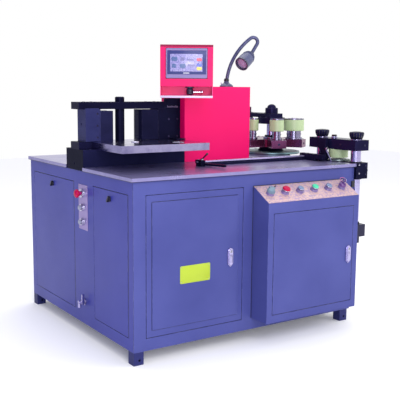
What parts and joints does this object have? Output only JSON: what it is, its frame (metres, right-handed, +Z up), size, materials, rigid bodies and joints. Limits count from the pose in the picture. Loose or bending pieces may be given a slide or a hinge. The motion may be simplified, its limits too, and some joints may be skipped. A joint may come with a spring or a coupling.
{
  "type": "busbar processing machine",
  "caption": "Blue sheet-metal cabinet on short legs whose steel table carries a bending press, a turret punch, a column press, a swivel console and a work lamp.",
  "frame": {"origin": "on the floor under the middle of the machine's bounding box", "axes": "+X to the operator's right along the front, +Y towards the back, +Z up"},
  "size_m": [1.5958, 1.3264, 1.5],
  "materials": {
    "blue_sheet": "satin powder coat",
    "dark_sheet": "satin powder coat",
    "black_oxide": "black oxide, lightly polished",
    "tower_red": "gloss paint",
    "table_steel": "ground and oiled",
    "ground_steel": "ground",
    "column_steel": "hard chromed",
    "machined_steel": "machined",
    "die_steel": "ground",
    "urethane": "smooth",
    "turret_paint": "satin paint",
    "panel_pink": "brushed",
    "bezel": "satin",
    "lamp_metal": "satin",
    "handle_chrome": "polished",
    "black_plastic": "satin",
    "red_plastic": "gloss",
    "green_plastic": "gloss",
    "teal_plastic": "satin",
    "grey_plastic": "satin",
    "pink_plastic": "gloss",
    "switch_grey": "satin",
    "tank_blue": "semi-gloss paint",
    "motor_grey": "painted"
  },
  "bodies": {
    "frame": {"base_frame": "dark_sheet", "front_panel": "blue_sheet", "left_panel": "blue_sheet", "rear_walls": "blue_sheet", "tool_bin": "blue_sheet", "table_top": "table_steel", "bender_bed": "black_oxide", "die_column": "black_oxide", "v_die": "black_oxide", "top_beam": "black_oxide", "end_housing": "black_oxide", "bender_cylinder": "machined_steel", "work_plate": "ground_steel", "tower_cover": "tower_red", "console_bracket": "machined_steel", "fence_bar": "black_oxide", "press_bolster": "black_oxide", "lower_cylinders": "machined_steel", "press_die": "die_steel", "punch_bolster": "black_oxide", "lamp_stand": "lamp_metal", "lamp_head": "lamp_metal", "drain_valve": "handle_chrome", "control_plates": "panel_pink", "ebox_shell": "blue_sheet", "switchgear": "switch_grey", "power_unit": "tank_blue", "pump_motor": "motor_grey"},
    "tool_door": {"tool_door": "blue_sheet"},
    "tool_handle": {"tool_handle": "handle_chrome"},
    "ebox_door": {"ebox_door": "blue_sheet"},
    "ebox_handle": {"ebox_handle": "handle_chrome"},
    "rear_door": {"rear_door": "blue_sheet"},
    "rear_latch": {"rear_latch": "black_plastic"},
    "front_door": {"front_door": "blue_sheet"},
    "front_latch": {"front_latch": "black_plastic"},
    "side_estop": {"side_estop": "red_plastic"},
    "side_button_upper": {"side_button_upper": "grey_plastic"},
    "side_button_lower": {"side_button_lower": "grey_plastic"},
    "mode_switch": {"mode_switch": "teal_plastic"},
    "stop_button": {"stop_button": "red_plastic"},
    "jog_button": {"jog_button": "grey_plastic"},
    "start_button": {"start_button": "green_plastic"},
    "reset_button": {"reset_button": "teal_plastic"},
    "key_switch": {"key_switch": "pink_plastic"},
    "bender_ram": {"bender_ram": "black_oxide"},
    "mandrel_pin": {"mandrel_pin": "black_oxide"},
    "press_slide": {"press_beam": "black_oxide", "press_columns": "column_steel", "press_stripper": "urethane"},
    "punch_slide": {"punch_beam": "black_oxide", "punch_columns": "column_steel"},
    "turret": {"turret_plate": "turret_paint", "turret_tools": "machined_steel", "turret_strippers": "urethane"},
    "console": {"console_housing": "tower_red", "hmi_panel": "bezel"},
    "swivel_lock": {"swivel_lock": "black_plastic"},
    "fence_stop": {"fence_stop": "black_oxide"},
    "drain_handle": {"drain_handle": "handle_chrome"}
  },
  "joints": [
    {"name": "tool_door_swing", "type": "hinge", "parent": "frame", "child": "tool_door", "pos_m": [-0.674, -0.52485, 0.4385], "axis": [0, 0, -1], "range_deg": [0, 110]},
    {"name": "tool_handle_turn", "type": "hinge", "parent": "tool_door", "child": "tool_handle", "pos_m": [-0.2375, -0.53185, 0.464], "axis": [0, 1, 0], "range_deg": [0, 90]},
    {"name": "ebox_door_swing", "type": "hinge", "parent": "frame", "child": "ebox_door", "pos_m": [-0.057, -0.64485, 0.3985], "axis": [0, 0, -1], "range_deg": [0, 110]},
    {"name": "ebox_handle_turn", "type": "hinge", "parent": "ebox_door", "child": "ebox_handle", "pos_m": [0.4105, -0.65185, 0.426], "axis": [0, 1, 0], "range_deg": [0, 90]},
    {"name": "rear_door_tilt", "type": "hinge", "parent": "frame", "child": "rear_door", "pos_m": [-0.7455, 0.34265, 0.1265], "axis": [0, -1, 0], "range_deg": [0, 80]},
    {"name": "rear_latch_turn", "type": "hinge", "parent": "rear_door", "child": "rear_latch", "pos_m": [-0.7505, 0.34265, 0.721], "axis": [-1, 0, 0], "range_deg": [0, 90]},
    {"name": "front_door_tilt", "type": "hinge", "parent": "frame", "child": "front_door", "pos_m": [-0.7455, -0.31135, 0.1265], "axis": [0, -1, 0], "range_deg": [0, 80]},
    {"name": "front_latch_turn", "type": "hinge", "parent": "front_door", "child": "front_latch", "pos_m": [-0.7505, -0.31135, 0.721], "axis": [-1, 0, 0], "range_deg": [0, 90]},
    {"name": "side_estop_press", "type": "slide", "parent": "frame", "child": "side_estop", "axis": [1, 0, 0], "range_m": [0, 0.004], "stiffness_N_per_m": 900, "springref_m": -0.002},
    {"name": "side_button_upper_press", "type": "slide", "parent": "frame", "child": "side_button_upper", "axis": [1, 0, 0], "range_m": [0, 0.004], "stiffness_N_per_m": 900, "springref_m": -0.002},
    {"name": "side_button_lower_press", "type": "slide", "parent": "frame", "child": "side_button_lower", "axis": [1, 0, 0], "range_m": [0, 0.004], "stiffness_N_per_m": 900, "springref_m": -0.002},
    {"name": "mode_switch_turn", "type": "hinge", "parent": "frame", "child": "mode_switch", "pos_m": [-0.0515, -0.59185, 0.727], "axis": [0, -0.493, 0.87], "range_deg": [-45, 45]},
    {"name": "stop_button_press", "type": "slide", "parent": "frame", "child": "stop_button", "axis": [0, 0.493, -0.87], "range_m": [0, 0.004], "stiffness_N_per_m": 900, "springref_m": -0.002},
    {"name": "jog_button_press", "type": "slide", "parent": "frame", "child": "jog_button", "axis": [0, 0.493, -0.87], "range_m": [0, 0.004], "stiffness_N_per_m": 900, "springref_m": -0.002},
    {"name": "start_button_press", "type": "slide", "parent": "frame", "child": "start_button", "axis": [0, 0.493, -0.87], "range_m": [0, 0.004], "stiffness_N_per_m": 900, "springref_m": -0.002},
    {"name": "reset_button_press", "type": "slide", "parent": "frame", "child": "reset_button", "axis": [0, 0.493, -0.87], "range_m": [0, 0.004], "stiffness_N_per_m": 900, "springref_m": -0.002},
    {"name": "key_switch_turn", "type": "hinge", "parent": "frame", "child": "key_switch", "pos_m": [0.4085, -0.59185, 0.727], "axis": [0, -0.493, 0.87], "range_deg": [0, 60]},
    {"name": "bender_ram_slide", "type": "slide", "parent": "frame", "child": "bender_ram", "axis": [-1, 0, 0], "range_m": [0, 0.068]},
    {"name": "mandrel_pin_lift", "type": "slide", "parent": "frame", "child": "mandrel_pin", "axis": [0, 0, 1], "range_m": [0, 0.19]},
    {"name": "press_slide_stroke", "type": "slide", "parent": "frame", "child": "press_slide", "axis": [0, 0, -1], "range_m": [0, 0.022], "deforming": ["press_stripper"]},
    {"name": "punch_slide_stroke", "type": "slide", "parent": "frame", "child": "punch_slide", "axis": [0, 0, 1], "range_m": [-0.022, 0]},
    {"name": "turret_index", "type": "hinge", "parent": "frame", "child": "turret", "pos_m": [0.5935, 0.20815, 0.9], "axis": [0, 0, 1], "continuous": true},
    {"name": "console_swivel", "type": "hinge", "parent": "frame", "child": "console", "pos_m": [-0.1235, 0.02415, 1.277], "axis": [0, 0, 1], "range_deg": [-50, 33.5]},
    {"name": "swivel_lock_turn", "type": "hinge", "parent": "console", "child": "swivel_lock", "pos_m": [-0.22331, -0.15563, 1.199], "axis": [0, 0, 1], "range_deg": [-60, 0]},
    {"name": "fence_stop_slide", "type": "slide", "parent": "frame", "child": "fence_stop", "axis": [1, 0, 0], "range_m": [0, 0.603]},
    {"name": "drain_handle_turn", "type": "hinge", "parent": "frame", "child": "drain_handle", "pos_m": [-0.7705, -0.02935, 0.174], "axis": [0, -1, 0], "range_deg": [0, 90]}
  ]
}
